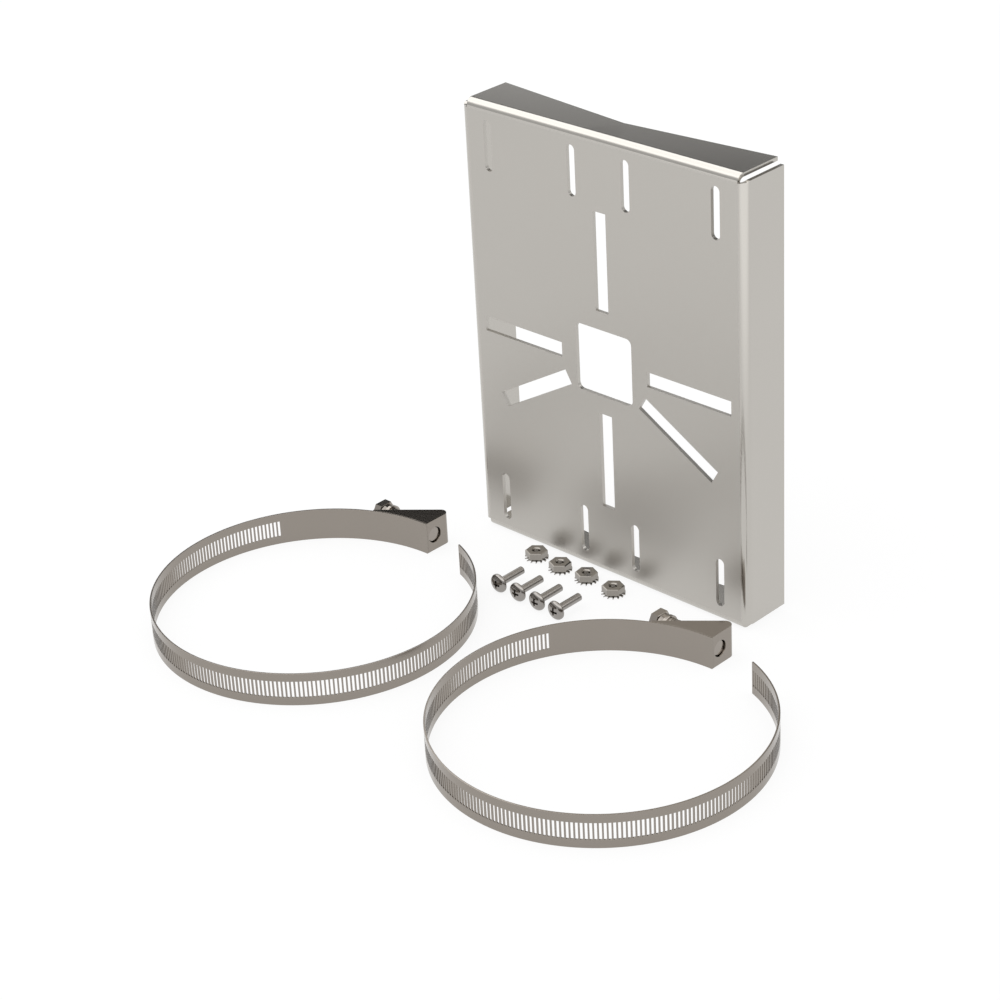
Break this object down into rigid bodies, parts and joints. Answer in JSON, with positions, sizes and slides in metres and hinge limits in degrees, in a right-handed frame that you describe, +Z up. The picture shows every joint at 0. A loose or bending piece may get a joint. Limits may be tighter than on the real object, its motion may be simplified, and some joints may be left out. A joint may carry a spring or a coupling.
{
  "type": "camera pole mount bracket",
  "caption": "Folded steel tray plate with strap slots, radial camera slots and a cable hole, with open worm-drive band clamps, screws and lock nuts.",
  "frame": {"origin": "on the floor, under the middle of the flat of the plate's bottom flange", "axes": "+Z up the plate, -Y out of the camera face, +X to the right of someone who looks at that face"},
  "size_m": [0.3251, 0.2172, 0.222],
  "materials": {
    "plate_steel": "satin stainless sheet",
    "band_steel": "satin stainless strip",
    "housing_steel": "satin stainless pressing",
    "worm_steel": "bright turned stainless",
    "screw_steel": "bright stainless",
    "nut_steel": "bright stainless",
    "washer_steel": "bright stainless spring sheet"
  },
  "bodies": {
    "bracket_kit": {"bracket_plate": "plate_steel", "clamp_1_band": "band_steel", "clamp_1_housing": "housing_steel", "clamp_2_band": "band_steel", "clamp_2_housing": "housing_steel", "machine_screw_1": "screw_steel", "machine_screw_2": "screw_steel", "machine_screw_3": "screw_steel", "machine_screw_4": "screw_steel", "lock_nut_1": "nut_steel", "lock_nut_2": "nut_steel", "lock_nut_3": "nut_steel", "lock_nut_4": "nut_steel"},
    "clamp_1_worm": {"clamp_1_worm_screw": "worm_steel"},
    "clamp_2_worm": {"clamp_2_worm_screw": "worm_steel"},
    "star_washer_1_ring": {"star_washer_1": "washer_steel"},
    "star_washer_2_ring": {"star_washer_2": "washer_steel"},
    "star_washer_3_ring": {"star_washer_3": "washer_steel"},
    "star_washer_4_ring": {"star_washer_4": "washer_steel"}
  },
  "joints": [
    {"name": "clamp_1_worm_turn", "type": "hinge", "parent": "bracket_kit", "child": "clamp_1_worm", "pos_m": [-0.0838, -0.0454, 0.0081], "axis": [1, 0, 0], "continuous": true},
    {"name": "clamp_2_worm_turn", "type": "hinge", "parent": "bracket_kit", "child": "clamp_2_worm", "pos_m": [0.0899, -0.0399, 0.0081], "axis": [1, 0, 0], "continuous": true},
    {"name": "star_washer_1_turn", "type": "hinge", "parent": "bracket_kit", "child": "star_washer_1_ring", "pos_m": [-0.0391, -0.02105, 0], "axis": [0, 0, 1], "continuous": true},
    {"name": "star_washer_2_turn", "type": "hinge", "parent": "bracket_kit", "child": "star_washer_2_ring", "pos_m": [-0.0225, -0.0224, 0], "axis": [0, 0, 1], "continuous": true},
    {"name": "star_washer_3_turn", "type": "hinge", "parent": "bracket_kit", "child": "star_washer_3_ring", "pos_m": [-0.0062, -0.0218, 0], "axis": [0, 0, 1], "continuous": true},
    {"name": "star_washer_4_turn", "type": "hinge", "parent": "bracket_kit", "child": "star_washer_4_ring", "pos_m": [0.0121, -0.0234, 0], "axis": [0, 0, 1], "continuous": true}
  ]
}
